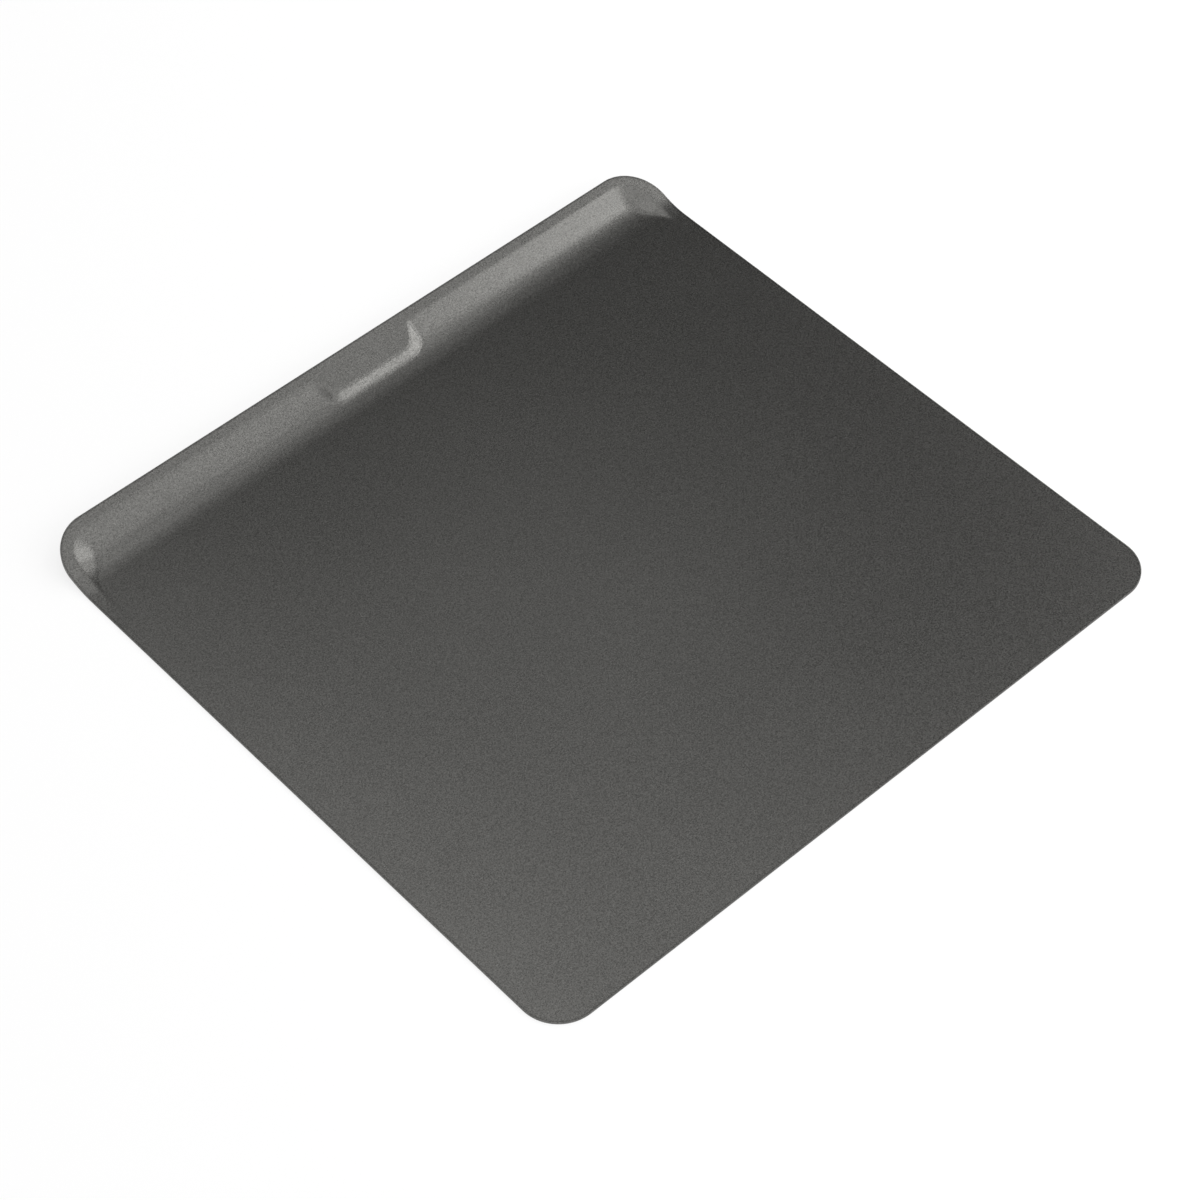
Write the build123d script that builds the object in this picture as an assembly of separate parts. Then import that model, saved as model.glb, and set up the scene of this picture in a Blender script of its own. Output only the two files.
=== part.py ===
from build123d import *
from math import cos, radians, sin, tan
import os

os.makedirs("parts", exist_ok=True)

# A cookie sheet pressed from one coated steel blank. One side is raised as a lip with a grip pad.
# Origin: middle of the sheet in plan, on the plane that it rests on. +Y points at the lip, +Z up.

# Outline in plan
sheet_width = 381.0
sheet_depth = 363.4
front_corner_radius = 20.5
lip_corner_radius = 22.0

# Layers, from the underside up
underside_coating_thickness = 0.04
steel_thickness = 0.8
baking_coating_thickness = 0.04

# Lip, measured on the baking face from its outer edge inward
lip_rise = 11.2
flange_tilt = 20.5
flange_length = 4.9
crest_radius = 8.0
wall_tilt = 33.0
bend_radius = 34.0
lead_in_radius = 80.0
lead_in_angle = 3.0

# Rim that carries the flange round the two lip corners and down the sides
rim_side_width = 6.6
rim_back_width = 4.4
rim_foot_radius = 30.0
scoop_run_share = 0.6

# Grip pad, raised to the plane of the flange in the middle of the lip
pad_reach = 17.4
pad_front_half_width = 23.6
pad_splay = 31.0
pad_front_run = 5.0
pad_side_run = 5.0
pad_corner_radius = 7.0
pad_foot_corner_radius = 8.0

# Overrun of the solids that cut or trim another
overrun = 2.0

# Values that follow from the sizes above
lip_edge_y = sheet_depth / 2
front_edge_y = -sheet_depth / 2
stack_thickness = underside_coating_thickness + steel_thickness + baking_coating_thickness
die_depth = lip_rise + stack_thickness
die_width = sheet_width + 2 * overrun
turn_at_crest = wall_tilt - flange_tilt

bend_rise = bend_radius * (cos(radians(lead_in_angle)) - cos(radians(wall_tilt)))
lead_in_rise = lead_in_radius * (1 - cos(radians(lead_in_angle)))
crest_rise = crest_radius * (cos(radians(flange_tilt)) - cos(radians(wall_tilt)))
flange_rise = flange_length * sin(radians(flange_tilt))
wall_rise = lip_rise - flange_rise - crest_rise - bend_rise - lead_in_rise
wall_length = wall_rise / sin(radians(wall_tilt))

# Deepest point of the scooped wall below the plane of the flange, measured square to that plane
scoop_depth = (wall_length * sin(radians(turn_at_crest))
               + (crest_radius + bend_radius) * (1 - cos(radians(turn_at_crest))))
rim_foot_tangent = rim_foot_radius * tan(radians(flange_tilt / 2))
scoop_corner_radius = lip_corner_radius - rim_side_width
scoop_run = scoop_run_share * scoop_corner_radius
scoop_slope = scoop_depth / scoop_run

# The plane of the flange: x along the lip, y up towards its outer edge, z out of the baking face
flange_plane = Plane(
    origin=(0, lip_edge_y, lip_rise),
    x_dir=(1, 0, 0),
    z_dir=(0, -sin(radians(flange_tilt)), cos(radians(flange_tilt))),
)


def direction(tilt):
    """Unit step down a slope of this tilt, away from the outer edge of the lip."""
    return Vector(-cos(radians(tilt)), -sin(radians(tilt)))


def prism_below(curves):
    """Solid under a chain of curves in the Y-Z plane, from the lip side to the front side."""
    start = curves[0] @ 0
    end = curves[-1] @ 1
    closing = Polyline(end, (end.X, -die_depth), (start.X, -die_depth), start)
    face = make_face([*curves, *closing.edges()])
    return extrude(Plane.YZ * face, amount=die_width / 2, both=True)


def lip_form():
    """The flat base and the scooped lip, one section along the whole width."""
    edge = Vector(lip_edge_y, lip_rise)
    flange = Line(edge - direction(flange_tilt) * overrun,
                  edge + direction(flange_tilt) * flange_length)
    crest = JernArc(flange @ 1, flange % 1, crest_radius, turn_at_crest)
    wall = Line(crest @ 1, (crest @ 1) + direction(wall_tilt) * wall_length)
    bend = JernArc(wall @ 1, wall % 1, bend_radius, lead_in_angle - wall_tilt)
    lead_in = JernArc(bend @ 1, bend % 1, lead_in_radius, -lead_in_angle)
    base = Line(lead_in @ 1, (front_edge_y - overrun, 0))
    return prism_below([flange, crest, wall, bend, lead_in, base])


def rim_form():
    """The flange plane carried down to the base, less the scoop that leaves a rim at the sides."""
    edge = Vector(lip_edge_y, lip_rise)
    slope_length = lip_rise / sin(radians(flange_tilt)) - rim_foot_tangent
    slope = Line(edge - direction(flange_tilt) * overrun,
                 edge + direction(flange_tilt) * slope_length)
    foot = JernArc(slope @ 1, slope % 1, rim_foot_radius, -flange_tilt)
    base = Line(foot @ 1, (front_edge_y - overrun, 0))
    return prism_below([slope, foot, base]) - scoop_form()


def scoop_outline(height):
    """Outline of the scoop at a height above the flange plane: its walls lean in as they go down."""
    outset = height / scoop_slope
    half_width = sheet_width / 2 - rim_side_width + outset
    back = outset - rim_back_width
    front = -2 * lip_rise / sin(radians(flange_tilt))
    face = make_face(Polyline((-half_width, front), (half_width, front),
                              (half_width, back), (-half_width, back), close=True))
    back_corners = face.vertices().sort_by(Axis.Y)[-2:]
    rounded = fillet(back_corners, scoop_corner_radius + outset)
    return flange_plane.offset(height) * rounded


def scoop_form():
    """Shallow tapered pocket: flat walls at the sides and a cone round each lip corner."""
    foot_clearance = 2 * rim_foot_tangent * sin(radians(flange_tilt))
    return loft([scoop_outline(-scoop_depth), scoop_outline(foot_clearance)], ruled=True)


def pad_outline(height, front_run, side_run, corner_radius):
    """Outline of the grip pad at a height above the flange plane, wider towards the lip edge."""
    reach = pad_reach + front_run
    shift = side_run / cos(radians(pad_splay)) - front_run * tan(radians(pad_splay))
    front_half_width = pad_front_half_width + shift
    back_half_width = front_half_width + (reach + overrun) * tan(radians(pad_splay))
    face = make_face(Polyline((-front_half_width, -reach), (front_half_width, -reach),
                              (back_half_width, overrun), (-back_half_width, overrun), close=True))
    front_corners = face.vertices().sort_by(Axis.Y)[:2]
    return flange_plane.offset(height) * fillet(front_corners, corner_radius)


def pad_form():
    """The grip pad: steep walls in front and at both splayed ends, rounded where they meet."""
    top = pad_outline(0, 0, 0, pad_corner_radius)
    foot = pad_outline(-scoop_depth, pad_front_run, pad_side_run, pad_foot_corner_radius)
    return loft([foot, top], ruled=True)


def sheet_trim():
    """The blank's outline as a tall block: small radii at the front, larger ones at the lip."""
    half_width = sheet_width / 2
    face = make_face(Polyline((-half_width, front_edge_y), (half_width, front_edge_y),
                              (half_width, lip_edge_y), (-half_width, lip_edge_y), close=True))
    face = fillet(face.vertices().sort_by(Axis.Y)[:2], front_corner_radius)
    face = fillet(face.vertices().sort_by(Axis.Y)[-2:], lip_corner_radius)
    return extrude(Pos(0, 0, -overrun) * face, amount=die_depth + 2 * overrun)


def raised(form, level):
    """The form moved to a level of the stack, down and a little back so the gauge stays even."""
    below_top = stack_thickness - level
    back = below_top * tan(radians(wall_tilt / 2))
    return Pos(0, back, level) * form


def layer(form, trim, bottom, top):
    """One layer of the sheet, between two levels of the stack."""
    return (trim & raised(form, top)) - raised(form, bottom)


def export_layers():
    """Write each layer of the sheet to its own file."""
    form = lip_form() + rim_form() + pad_form()
    trim = sheet_trim()
    steel_bottom = underside_coating_thickness
    steel_top = steel_bottom + steel_thickness
    layers = {
        "underside_coating": (0, steel_bottom),
        "steel_sheet": (steel_bottom, steel_top),
        "baking_face_coating": (steel_top, stack_thickness),
    }
    for name, (bottom, top) in layers.items():
        export_step(layer(form, trim, bottom, top), f"parts/{name}.step")


export_layers()
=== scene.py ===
import math

import bpy
import numpy as np
from mathutils import Matrix, Vector


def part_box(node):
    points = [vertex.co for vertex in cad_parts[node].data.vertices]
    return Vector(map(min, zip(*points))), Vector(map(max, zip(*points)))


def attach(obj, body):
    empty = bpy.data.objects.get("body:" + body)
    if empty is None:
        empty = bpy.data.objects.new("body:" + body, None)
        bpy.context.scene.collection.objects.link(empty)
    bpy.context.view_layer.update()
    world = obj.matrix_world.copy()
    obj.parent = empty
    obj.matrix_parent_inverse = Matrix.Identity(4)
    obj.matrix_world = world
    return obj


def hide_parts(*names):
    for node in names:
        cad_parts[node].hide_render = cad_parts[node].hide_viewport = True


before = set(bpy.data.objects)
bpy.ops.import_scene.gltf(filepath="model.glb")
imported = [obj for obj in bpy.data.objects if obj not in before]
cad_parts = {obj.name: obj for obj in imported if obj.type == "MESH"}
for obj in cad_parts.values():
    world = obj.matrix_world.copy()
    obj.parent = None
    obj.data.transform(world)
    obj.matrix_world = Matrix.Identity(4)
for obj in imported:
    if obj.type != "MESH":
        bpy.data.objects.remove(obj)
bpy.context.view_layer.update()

MM = 0.001
QUARTER_TURN = math.pi / 2
TINY = 1e-9

# The layers of the sheet, read from the parts of model.glb. The film below the steel is as thick as the
# one above it.
coating_low, coating_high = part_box("baking_face_coating")
HALF_WIDTH = coating_high.x
HALF_DEPTH = coating_high.y
STEEL_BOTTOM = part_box("steel_sheet")[0].z
STEEL_TOP = coating_low.z
STACK_TOP = STEEL_TOP + STEEL_BOTTOM
LIP_RISE = coating_high.z - STACK_TOP

# Corners of the outline in plan
FRONT_CORNER = 20.5 * MM
LIP_CORNER = 22.0 * MM

# Section of the lip, from its outer edge inward
FLANGE_TILT = math.radians(20.1)
FLANGE_LENGTH = 4.0 * MM
CREST_RADIUS = 10.1 * MM
WALL_TILT = math.radians(33.0)
BEND_RADIUS = 34.0 * MM
LEAD_IN_RADIUS = 80.0 * MM
LEAD_IN_ANGLE = math.radians(3.0)
SECTION_EASE = 1.4 * MM
SECTION_EASE_PLACES = 9

# Rim round the two lip corners, and the scoop inside it
RIM_SIDE = 6.5 * MM
RIM_BACK = 5.4 * MM
RIM_FOOT_RADIUS = 46.0 * MM
SCOOP_SLOPE = 0.25
SCOOP_EDGE = 1.0 * MM
SCOOP_VALLEY = 0.6 * MM

# Grip pad, on the plane of the flange
PAD_REACH = 17.4 * MM
PAD_HALF_WIDTH = 23.4 * MM
PAD_SPLAY = math.radians(31.0)
PAD_CORNER = 6.3 * MM
PAD_SLOPE = 0.50
PAD_EDGE = 1.0 * MM
PAD_VALLEY = 0.3 * MM

# How far into a form, or above the base, its soft valley reaches its full width
VALLEY_RUN = 2 * MM

# Sheared edge: the punch rolls the coated face over a little, and a thin line of painted shade darkens
# the film's colour there
ROLL_WIDTH = 0.5 * MM
ROLL_DROP = 0.1 * MM
# Where the line of painted shade lies, in from the cut edge, and how wide it is
PAINTED_SHADE_LINE_INSET = 0.6 * MM
PAINTED_SHADE_LINE_HALF_WIDTH = 0.6 * MM

# Rows of the mesh from the front edge to the lip, and columns from the middle to a side
FRONT_CORNER_ROWS = 18
LIP_CORNER_ROWS = 50
FLAT_ROW_STEP = 12 * MM
BEND_ROW_STEP = 0.6 * MM
BEND_ROW_MARGIN = 4 * MM
PAD_COLUMN_REACH = 40 * MM
PAD_COLUMN_STEP = 1.0 * MM
PLAIN_COLUMN_STEP = 8 * MM
CORNER_COLUMN_REACH = 30 * MM
CORNER_COLUMN_STEP = 0.9 * MM
EDGE_COLUMN_INSETS = [inset * MM for inset in (1.2, 0.8, 0.5, 0.25, 0.1, 0.0)]
SHARP_ANGLE = math.radians(40)

# Non-stick film: flaked grain, faint clouds and a satin face
COATING_COLOUR = (0.132, 0.1305, 0.125)
FLAKE_SCALE = 1400.0
FLAKE_DETAIL = 3.0
FLAKE_SPREAD = 0.85
FLAKE_BUMP_STRENGTH = 0.1
FLAKE_BUMP_HEIGHT = 0.05 * MM
CLOUD_SCALE = 14.0
CLOUD_DETAIL = 2.0
CLOUD_SPREAD = 0.06
# Colour factor of the painted shade line inside the cut edge
PAINTED_SHADE_LINE_FACTOR = 0.6
BAKING_FACE_ROUGHNESS = 0.28
UNDERSIDE_ROUGHNESS = 0.3
ROUGHNESS_SPREAD = 0.06

# The rough film stays dark at a grazing look, where smooth metal would turn to a mirror
GRAZING_TINT = (0.35, 0.345, 0.335, 1)

# Bare steel of the cut edge
STEEL_DARK = (0.115, 0.113, 0.11, 1)
STEEL_PALE = (0.2, 0.197, 0.192, 1)
STEEL_GRAIN_SCALE = 900.0
STEEL_GRAIN_DETAIL = 3.0
STEEL_ROUGHNESS_LOW = 0.32
STEEL_ROUGHNESS_HIGH = 0.5

# Floor just under the sheet
FLOOR_REACH = 4.0
FLOOR_GAP = 0.1 * MM
FLOOR_COLOUR = (0.95, 0.95, 0.95, 1)
FLOOR_ROUGHNESS = 0.9
FLOOR_GLOW_SHARE = 0.8

# World light: heights on the unit sphere between which it fades, and its strength at each
HORIZON_HEIGHT = 0.05
OVERHEAD_HEIGHT = 0.5
HORIZON_LIGHT = 1.0
OVERHEAD_LIGHT = 0.163

# Soft lamps: azimuth and elevation in degrees, width and height in metres, power in watts
LAMP_DISTANCE = 2.2
LAMPS = [
    (60, 63, 0.4, 0.3, 0.37),
    (-13, 51, 1.1, 0.3, 4.0),
    (-96, 46, 1.8, 0.8, 7.0),
    (-101, 77, 2.0, 1.3, 9.3),
    (-4, 27, 3.4, 0.7, 21.0),
    (93, 72, 1.1, 1.7, 6.7),
    (48, 52, 0.4, 0.3, 0.26),
    (32, 64, 0.4, 0.5, 0.67),
    (3, 65, 0.7, 0.3, 0.86),
    (-39, 45, 6.6, 1.3, 24.0),
    (-57, 29, 1.3, 0.7, 12.0),
    (76, 52, 1.3, 0.3, 0.38),
]

# Camera, solved from the edges of the sheet in the photograph
SENSOR_WIDTH_MM = 36.0
FOCAL_LENGTH_MM = 99.16
CAMERA_CLIP_START = 0.05
CAMERA_PLACE = Vector((-0.66599, -0.74904, 1.19534))
CAMERA_AIM = Vector((-0.01465, -0.01643, 0.0))
CAMERA_ROLL = math.radians(-0.83)


def lip_section():
    """Places (y, height) where the lip's section changes, from the flange down to the base."""
    points = []
    y = HALF_DEPTH - FLANGE_LENGTH * math.cos(FLANGE_TILT)
    z = LIP_RISE - FLANGE_LENGTH * math.sin(FLANGE_TILT)
    points.append((y, z))
    y -= CREST_RADIUS * (math.sin(WALL_TILT) - math.sin(FLANGE_TILT))
    z -= CREST_RADIUS * (math.cos(FLANGE_TILT) - math.cos(WALL_TILT))
    points.append((y, z))
    bend_rise = BEND_RADIUS * (math.cos(LEAD_IN_ANGLE) - math.cos(WALL_TILT))
    lead_rise = LEAD_IN_RADIUS * (1 - math.cos(LEAD_IN_ANGLE))
    y -= (z - bend_rise - lead_rise) / math.tan(WALL_TILT)
    points.append((y, bend_rise + lead_rise))
    y -= BEND_RADIUS * (math.sin(WALL_TILT) - math.sin(LEAD_IN_ANGLE))
    points.append((y, lead_rise))
    y -= LEAD_IN_RADIUS * math.sin(LEAD_IN_ANGLE)
    points.append((y, 0.0))
    return points


SECTION = lip_section()


def arc(radius, offset):
    """Height of a circle over its centre, at an offset from it."""
    return np.sqrt(np.maximum(radius**2 - offset**2, 0))


def section_height(y):
    """Height of the lip's section over the base at places y."""
    (y4, z4), (y3, z3), (y2, z2), (y1, z1), (y0, z0) = SECTION
    flange = z4 + (y - y4) * math.tan(FLANGE_TILT)
    crest_y = y4 + CREST_RADIUS * math.sin(FLANGE_TILT)
    crest_z = z4 - CREST_RADIUS * math.cos(FLANGE_TILT)
    crest = crest_z + arc(CREST_RADIUS, y - crest_y)
    wall = z3 + (y - y3) * math.tan(WALL_TILT)
    bend_y = y1 - BEND_RADIUS * math.sin(LEAD_IN_ANGLE)
    bend_z = z1 + BEND_RADIUS * math.cos(LEAD_IN_ANGLE)
    bend = bend_z - arc(BEND_RADIUS, y - bend_y)
    lead = z0 + LEAD_IN_RADIUS - arc(LEAD_IN_RADIUS, y - y0)
    starts = [y > y4, y > y3, y > y2, y > y1, y > y0]
    return np.select(starts, [flange, crest, wall, bend, lead], 0.0)


def soft_section(y):
    """The section with its changes of bend eased, as drawn sheet has them."""
    places = SECTION_EASE * np.linspace(-1, 1, SECTION_EASE_PLACES)
    return sum(section_height(y + place) for place in places) / len(places)


def soft_rise(t, radius):
    """Zero below zero, then a soft start into a straight rise."""
    return np.where(t < 0, 0, np.where(t < radius, t * t / (2 * radius), t - radius / 2))


def raised_over(base, form, valley):
    """The higher of two surfaces, with the valley where they cross filled softly."""
    near = np.maximum(valley - np.abs(base - form), 0)
    return np.maximum(base, form) + near * near / (4 * np.maximum(valley, TINY))


def ease(t):
    """Smooth step from 0 to 1."""
    t = np.clip(t, 0, 1)
    return t * t * (3 - 2 * t)


def rim_height(y):
    """The flange's plane carried down to the base, and the soft foot where it lands."""
    landing = HALF_DEPTH - LIP_RISE / math.tan(FLANGE_TILT)
    start = landing - RIM_FOOT_RADIUS * math.tan(FLANGE_TILT / 2)
    end = start + RIM_FOOT_RADIUS * math.sin(FLANGE_TILT)
    foot = RIM_FOOT_RADIUS - arc(RIM_FOOT_RADIUS, y - start)
    plane = LIP_RISE - (HALF_DEPTH - y) * math.tan(FLANGE_TILT)
    return np.select([y > end, y > start], [plane, foot], 0.0)


def rounded_inset(side, end, radius):
    """Distance in from an outline with a round corner, from the distances to its two sides."""
    corner = radius - np.hypot(np.maximum(radius - side, 0), np.maximum(radius - end, 0))
    return np.minimum(np.minimum(side, end), corner)


def scoop_inset(x, along):
    """How far a place lies inside the rim's inner outline."""
    side = HALF_WIDTH - RIM_SIDE - np.abs(x)
    return rounded_inset(side, along - RIM_BACK, LIP_CORNER - RIM_SIDE)


def pad_outset(x, along):
    """How far a place lies outside the outline of the pad's top, whose front corners are round."""
    cos_splay, sin_splay = math.cos(PAD_SPLAY), math.sin(PAD_SPLAY)
    front = along - PAD_REACH
    side = (np.abs(x) - PAD_HALF_WIDTH) * cos_splay + front * sin_splay
    centre_x = PAD_HALF_WIDTH - PAD_CORNER * (1 - sin_splay) / cos_splay
    from_x = np.abs(x) - centre_x
    from_y = front + PAD_CORNER
    turn = np.arctan2(from_y, from_x)
    in_corner = (turn > PAD_SPLAY) & (turn < QUARTER_TURN)
    return np.where(in_corner, np.hypot(from_x, from_y) - PAD_CORNER, np.maximum(front, side))


def face_height(x, y):
    """Height of the pressed face over its own base, in the plan of the sheet."""
    along = (HALF_DEPTH - y) / math.cos(FLANGE_TILT)
    plane = rim_height(y)
    inset = scoop_inset(x, along)
    rim = plane - SCOOP_SLOPE * soft_rise(inset, SCOOP_EDGE)
    valley = SCOOP_VALLEY * ease(inset / VALLEY_RUN) * ease(plane / VALLEY_RUN)
    height = raised_over(soft_section(y), rim, valley)
    outset = pad_outset(x, along)
    pad = plane - PAD_SLOPE * soft_rise(outset, PAD_EDGE)
    return raised_over(height, pad, PAD_VALLEY * ease(outset / VALLEY_RUN))


def face_level(x, y, level):
    """Height of the pressed face at a level of the stack: down and a little back from the top."""
    back = (STACK_TOP - level) * math.tan(WALL_TILT / 2)
    return level + face_height(x, y - back)


def corner_radius_at(y):
    """Radius of the outline's corners at the front or at the lip."""
    return np.where(y < 0, FRONT_CORNER, LIP_CORNER)


def outline_distance(x, y):
    """Distance in from the cut edge of the sheet."""
    return rounded_inset(HALF_WIDTH - np.abs(x), HALF_DEPTH - np.abs(y), corner_radius_at(y))


def half_width_at(y):
    """Half the width of the outline at places y, which draws in at the corners."""
    radius = corner_radius_at(y)
    into = np.maximum(np.abs(y) - (HALF_DEPTH - radius), 0)
    return HALF_WIDTH - radius + arc(radius, into)


def painted_edge_shade(x, y):
    """1 in the thin line of painted shade inside the cut edge where the film turns over, else 0."""
    off_line = np.abs(outline_distance(x, y) - PAINTED_SHADE_LINE_INSET)
    return 1 - ease(off_line / PAINTED_SHADE_LINE_HALF_WIDTH)


def spread(start, end, step):
    """Even places from start up to end, the end left out."""
    count = max(1, round(abs(end - start) / step))
    return list(np.linspace(start, end, count, endpoint=False))


def row_places():
    """Rows of the mesh from the front edge to the lip edge, close together where the face bends."""
    front_turns = spread(QUARTER_TURN, 0, QUARTER_TURN / FRONT_CORNER_ROWS)
    lip_turns = spread(0, QUARTER_TURN, QUARTER_TURN / LIP_CORNER_ROWS)
    front_end = -HALF_DEPTH + FRONT_CORNER
    bend_start = SECTION[-1][0] - BEND_ROW_MARGIN
    corner_start = HALF_DEPTH - LIP_CORNER
    front = [-HALF_DEPTH + FRONT_CORNER * (1 - math.sin(turn)) for turn in front_turns]
    flat = spread(front_end, bend_start, FLAT_ROW_STEP)
    bend = spread(bend_start, corner_start, BEND_ROW_STEP)
    lip = [corner_start + LIP_CORNER * math.sin(turn) for turn in lip_turns]
    return np.array(front + flat + bend + lip + [HALF_DEPTH])


def column_places():
    """Columns of the mesh from side to side, close together at the pad, the corners and the edges."""
    corner_start = HALF_WIDTH - CORNER_COLUMN_REACH
    pad = spread(0, PAD_COLUMN_REACH, PAD_COLUMN_STEP)
    plain = spread(PAD_COLUMN_REACH, corner_start, PLAIN_COLUMN_STEP)
    edge = [HALF_WIDTH - inset for inset in EDGE_COLUMN_INSETS]
    corner = spread(corner_start, edge[0], CORNER_COLUMN_STEP)
    half = np.array(pad + plain + corner + edge)
    return np.concatenate([-half[:0:-1], half])


def plan_grid():
    """The plan of every mesh point: a grid whose ends follow the rounded outline."""
    rows = row_places()
    columns = column_places() / HALF_WIDTH
    x = columns[None, :] * half_width_at(rows)[:, None]
    y = np.repeat(rows[:, None], len(columns), axis=1)
    return x, y


def shell_faces(rows, columns):
    """Faces of a closed shell: the upper grid, the lower grid turned over, and the wall round them."""
    index = np.arange(rows * columns).reshape(rows, columns)
    corners = [index[:-1, :-1], index[:-1, 1:], index[1:, 1:], index[1:, :-1]]
    quads = np.stack(corners, -1).reshape(-1, 4)
    rim = np.concatenate([index[0, :], index[1:, -1], index[-1, -2::-1], index[-2:0:-1, 0]])
    after = np.roll(rim, -1)
    under = rows * columns
    wall = np.stack([rim, rim + under, after + under, after], -1)
    return np.concatenate([quads, quads[:, ::-1] + under, wall])


def placed(name, data):
    """A new object of the scene."""
    item = bpy.data.objects.new(name, data)
    bpy.context.scene.collection.objects.link(item)
    return item


def layer_mesh(name, bottom, top, roll_drop):
    """A closed shell of one layer: pressed top, pressed bottom and the cut wall round them."""
    x, y = plan_grid()
    near = np.clip(1 - outline_distance(x, y) / ROLL_WIDTH, 0, 1)
    roll = roll_drop * near * near
    upper = np.stack([x, y, face_level(x, y, top) - roll], -1).reshape(-1, 3)
    lower = np.stack([x, y, face_level(x, y, bottom)], -1).reshape(-1, 3)
    mesh = bpy.data.meshes.new(name)
    mesh.from_pydata(np.concatenate([upper, lower]).tolist(), [], shell_faces(*x.shape).tolist())
    # Mask of the painted shade line along the cut edge, on the layer's upper points only
    shade = np.concatenate([painted_edge_shade(x, y).ravel(), np.zeros(x.size)])
    mesh.attributes.new("painted_edge_shade", "FLOAT", "POINT").data.foreach_set("value", shade.astype("f"))
    mesh.shade_smooth()
    mesh.set_sharp_from_angle(angle=SHARP_ANGLE)
    return placed(name, mesh)


def new_material(name):
    """A node material, with its nodes and links."""
    material = bpy.data.materials.new(name)
    material.use_nodes = True
    return material, material.node_tree.nodes, material.node_tree.links


def noise(nodes, links, scale, detail, place):
    """Noise of a scale and detail over a place."""
    node = nodes.new("ShaderNodeTexNoise")
    node.inputs["Scale"].default_value = scale
    node.inputs["Detail"].default_value = detail
    links.new(place, node.inputs["Vector"])
    return node.outputs["Fac"]


def ranged(nodes, links, value, low, high):
    """A value of 0 to 1 brought to the range from low to high."""
    node = nodes.new("ShaderNodeMapRange")
    node.inputs["To Min"].default_value = low
    node.inputs["To Max"].default_value = high
    links.new(value, node.inputs["Value"])
    return node.outputs["Result"]


def combined(nodes, links, operation, first, second):
    """Two values put together by one operation."""
    node = nodes.new("ShaderNodeMath")
    node.operation = operation
    links.new(first, node.inputs[0])
    links.new(second, node.inputs[1])
    return node.outputs[0]


def mixed_shader(nodes, links, share, first, second):
    """Two shaders mixed by a share of 0 to 1."""
    node = nodes.new("ShaderNodeMixShader")
    links.new(share, node.inputs["Fac"])
    links.new(first, node.inputs[1])
    links.new(second, node.inputs[2])
    return node.outputs["Shader"]


def coating_material(name, roughness):
    """Metallic grey non-stick film: fine flake grain, faint cloudiness, a satin face and a thin line of
    painted shade inside the cut edge.
    """
    material, nodes, links = new_material(name)
    shader = nodes["Principled BSDF"]
    place = nodes.new("ShaderNodeTexCoord").outputs["Object"]
    flake = noise(nodes, links, FLAKE_SCALE, FLAKE_DETAIL, place)
    cloud = noise(nodes, links, CLOUD_SCALE, CLOUD_DETAIL, place)
    # Painted shade: the film's colour is darkened in a thin line inside the cut edge
    edge = nodes.new("ShaderNodeAttribute")
    edge.attribute_name = "painted_edge_shade"
    flaked = ranged(nodes, links, flake, 1 - FLAKE_SPREAD, 1 + FLAKE_SPREAD)
    clouded = ranged(nodes, links, cloud, 1 - CLOUD_SPREAD, 1 + CLOUD_SPREAD)
    painted_edge_line = ranged(nodes, links, edge.outputs["Fac"], 1.0, PAINTED_SHADE_LINE_FACTOR)
    # Colour factor: random flake grain and clouds, times the painted shade line
    shade = combined(nodes, links, "MULTIPLY", flaked, clouded)
    shade = combined(nodes, links, "MULTIPLY", shade, painted_edge_line)
    tint = nodes.new("ShaderNodeVectorMath")
    tint.operation = "SCALE"
    tint.inputs[0].default_value = COATING_COLOUR
    links.new(shade, tint.inputs["Scale"])
    links.new(tint.outputs["Vector"], shader.inputs["Base Color"])
    satin = ranged(nodes, links, flake, roughness - ROUGHNESS_SPREAD, roughness + ROUGHNESS_SPREAD)
    links.new(satin, shader.inputs["Roughness"])
    bump = nodes.new("ShaderNodeBump")
    bump.inputs["Strength"].default_value = FLAKE_BUMP_STRENGTH
    bump.inputs["Distance"].default_value = FLAKE_BUMP_HEIGHT
    links.new(flake, bump.inputs["Height"])
    links.new(bump.outputs["Normal"], shader.inputs["Normal"])
    shader.inputs["Metallic"].default_value = 1.0
    shader.inputs["Specular Tint"].default_value = GRAZING_TINT
    return material


def bare_steel_material():
    """Sheared edge of the blank: pale steel with a fine grain."""
    material, nodes, links = new_material("bare_steel_edge")
    shader = nodes["Principled BSDF"]
    place = nodes.new("ShaderNodeTexCoord").outputs["Object"]
    grain = noise(nodes, links, STEEL_GRAIN_SCALE, STEEL_GRAIN_DETAIL, place)
    colour = nodes.new("ShaderNodeMix")
    colour.data_type = "RGBA"
    colour.inputs["A"].default_value = STEEL_DARK
    colour.inputs["B"].default_value = STEEL_PALE
    links.new(grain, colour.inputs["Factor"])
    links.new(colour.outputs["Result"], shader.inputs["Base Color"])
    rough = ranged(nodes, links, grain, STEEL_ROUGHNESS_LOW, STEEL_ROUGHNESS_HIGH)
    links.new(rough, shader.inputs["Roughness"])
    shader.inputs["Metallic"].default_value = 1.0
    return material


def dress_layer(piece, node, material):
    """A layer's mesh with its material, in place of its node."""
    piece.data.materials.append(material)
    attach(piece, "root")
    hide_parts(node)


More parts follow.
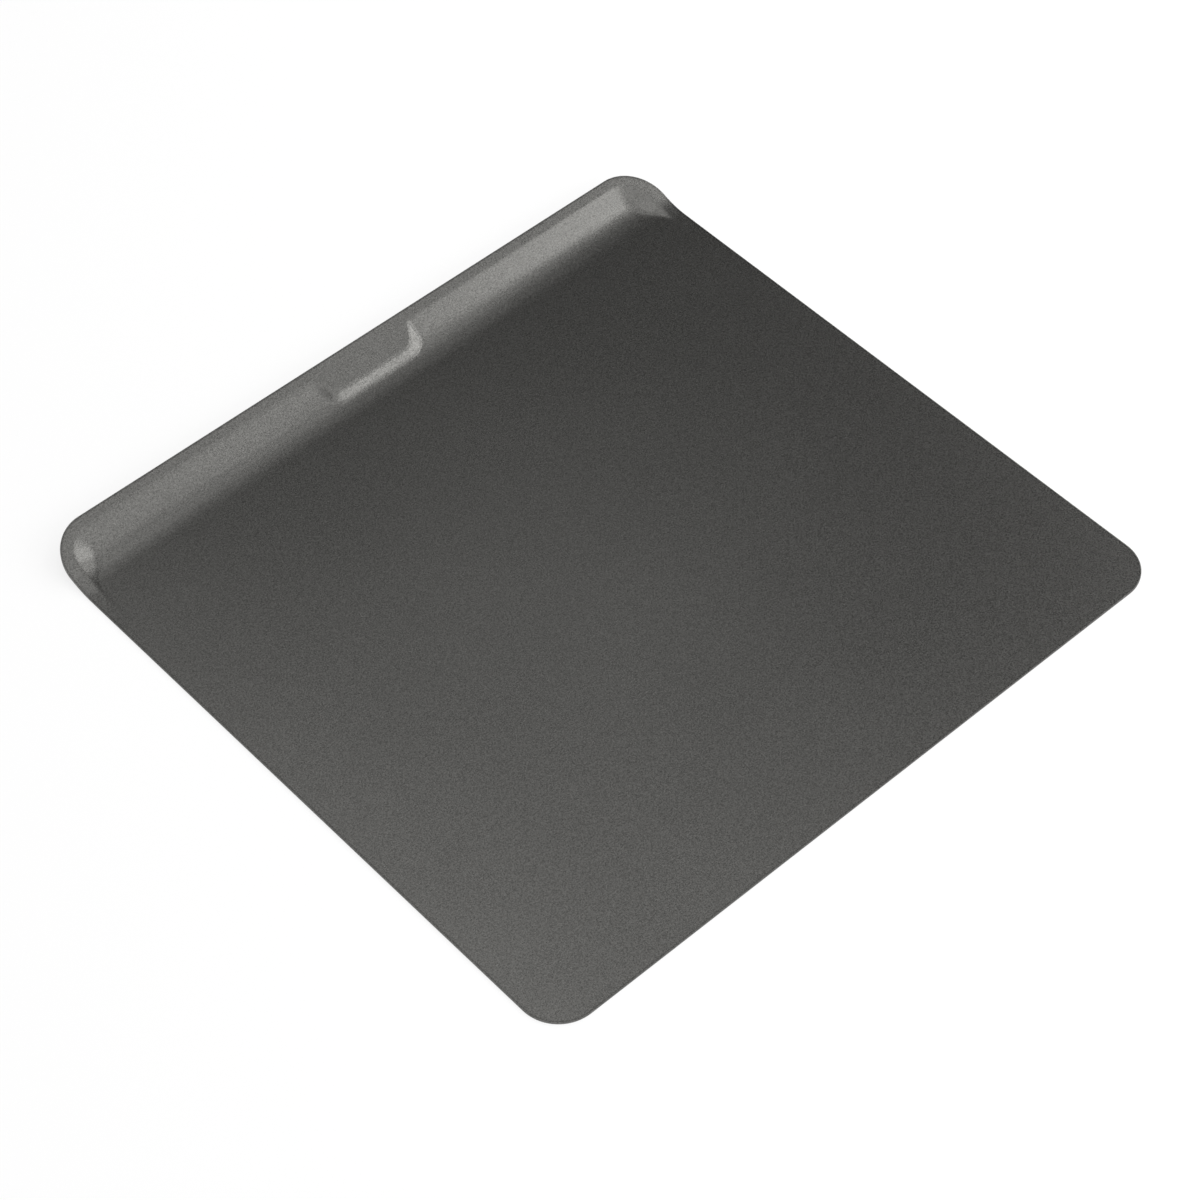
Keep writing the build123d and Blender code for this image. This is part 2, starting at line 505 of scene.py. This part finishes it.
def dress_sheet():
    """The three layers of the sheet."""
    steel = layer_mesh("steel_blank", STEEL_BOTTOM, STEEL_TOP, ROLL_DROP)
    dress_layer(steel, "steel_sheet", bare_steel_material())
    upper_film = layer_mesh("baking_face_film", STEEL_TOP, STACK_TOP, ROLL_DROP)
    upper_material = coating_material("baking_face_film", BAKING_FACE_ROUGHNESS)
    dress_layer(upper_film, "baking_face_coating", upper_material)
    lower_film = layer_mesh("underside_film", 0.0, STEEL_BOTTOM, 0.0)
    lower_material = coating_material("underside_film", UNDERSIDE_ROUGHNESS)
    dress_layer(lower_film, "underside_coating", lower_material)


def seen_directly(nodes, links):
    """1 for rays from the camera, off gloss or through glass, else 0."""
    path = nodes.new("ShaderNodeLightPath").outputs
    mirrored = combined(nodes, links, "MAXIMUM", path["Is Camera Ray"], path["Is Glossy Ray"])
    return combined(nodes, links, "MAXIMUM", mirrored, path["Is Transmission Ray"])


def floor_material():
    """White studio floor that keeps a soft shadow and lets the underside be seen from below."""
    material, nodes, links = new_material("studio_floor")
    shader = nodes["Principled BSDF"]
    shader.inputs["Base Color"].default_value = FLOOR_COLOUR
    shader.inputs["Roughness"].default_value = FLOOR_ROUGHNESS
    shader.inputs["Specular IOR Level"].default_value = 0.0
    glow = nodes.new("ShaderNodeEmission")
    glow.inputs["Strength"].default_value = 1.0
    glow_share = ranged(nodes, links, seen_directly(nodes, links), 0.0, FLOOR_GLOW_SHARE)
    lit = mixed_shader(nodes, links, glow_share, shader.outputs["BSDF"], glow.outputs["Emission"])
    behind = nodes.new("ShaderNodeNewGeometry").outputs["Backfacing"]
    clear = nodes.new("ShaderNodeBsdfTransparent").outputs["BSDF"]
    one_sided = mixed_shader(nodes, links, behind, lit, clear)
    links.new(one_sided, nodes["Material Output"].inputs["Surface"])
    return material


def pale_floor():
    """A flat floor just under the sheet."""
    signs = ((-1, -1), (1, -1), (1, 1), (-1, 1))
    corners = [(x * FLOOR_REACH, y * FLOOR_REACH, -FLOOR_GAP) for x, y in signs]
    mesh = bpy.data.meshes.new("floor")
    mesh.from_pydata(corners, [], [(0, 1, 2, 3)])
    mesh.materials.append(floor_material())
    floor = placed("floor", mesh)


def studio_world():
    """Studio round the sheet: white at the horizon and below, dim grey overhead."""
    world = bpy.data.worlds.new("studio")
    world.use_nodes = True
    bpy.context.scene.world = world
    nodes, links = world.node_tree.nodes, world.node_tree.links
    background = nodes["Background"]
    split = nodes.new("ShaderNodeSeparateXYZ")
    links.new(nodes.new("ShaderNodeTexCoord").outputs["Generated"], split.inputs["Vector"])
    fade = nodes.new("ShaderNodeMapRange")
    fade.interpolation_type = "SMOOTHSTEP"
    fade.inputs["From Min"].default_value = HORIZON_HEIGHT
    fade.inputs["From Max"].default_value = OVERHEAD_HEIGHT
    fade.inputs["To Min"].default_value = HORIZON_LIGHT
    fade.inputs["To Max"].default_value = OVERHEAD_LIGHT
    links.new(split.outputs["Z"], fade.inputs["Value"])
    links.new(fade.outputs["Result"], background.inputs["Strength"])
    background.inputs["Color"].default_value = (1, 1, 1, 1)


def soft_lamp(name, azimuth, elevation, width, height, power):
    """A soft lamp that looks at the middle of the sheet."""
    lamp = bpy.data.lights.new(name, "AREA")
    lamp.shape = "RECTANGLE"
    lamp.size = width
    lamp.size_y = height
    lamp.energy = power
    turn, rise = math.radians(azimuth), math.radians(elevation)
    level = math.cos(rise)
    toward = Vector((level * math.cos(turn), level * math.sin(turn), math.sin(rise)))
    holder = placed(name, lamp)
    holder.location = toward * LAMP_DISTANCE
    holder.rotation_euler = toward.to_track_quat("Z", "Y").to_euler()


def studio_lamps():
    """Every lamp of the list."""
    for number, lamp in enumerate(LAMPS, start=1):
        soft_lamp(f"lamp_{number:02d}", *lamp)


def photo_camera():
    """The camera where the photograph was taken from."""
    lens = bpy.data.cameras.new("photo_camera")
    lens.sensor_width = SENSOR_WIDTH_MM
    lens.lens = FOCAL_LENGTH_MM
    lens.clip_start = CAMERA_CLIP_START
    camera = placed("photo_camera", lens)
    look = (CAMERA_PLACE - CAMERA_AIM).to_track_quat("Z", "Y").to_matrix().to_4x4()
    roll = Matrix.Rotation(CAMERA_ROLL, 4, "Z")
    camera.matrix_world = Matrix.Translation(CAMERA_PLACE) @ look @ roll
    bpy.context.scene.camera = camera


dress_sheet()
pale_floor()
studio_world()
studio_lamps()
photo_camera()
bpy.context.scene.view_settings.view_transform = "Standard"
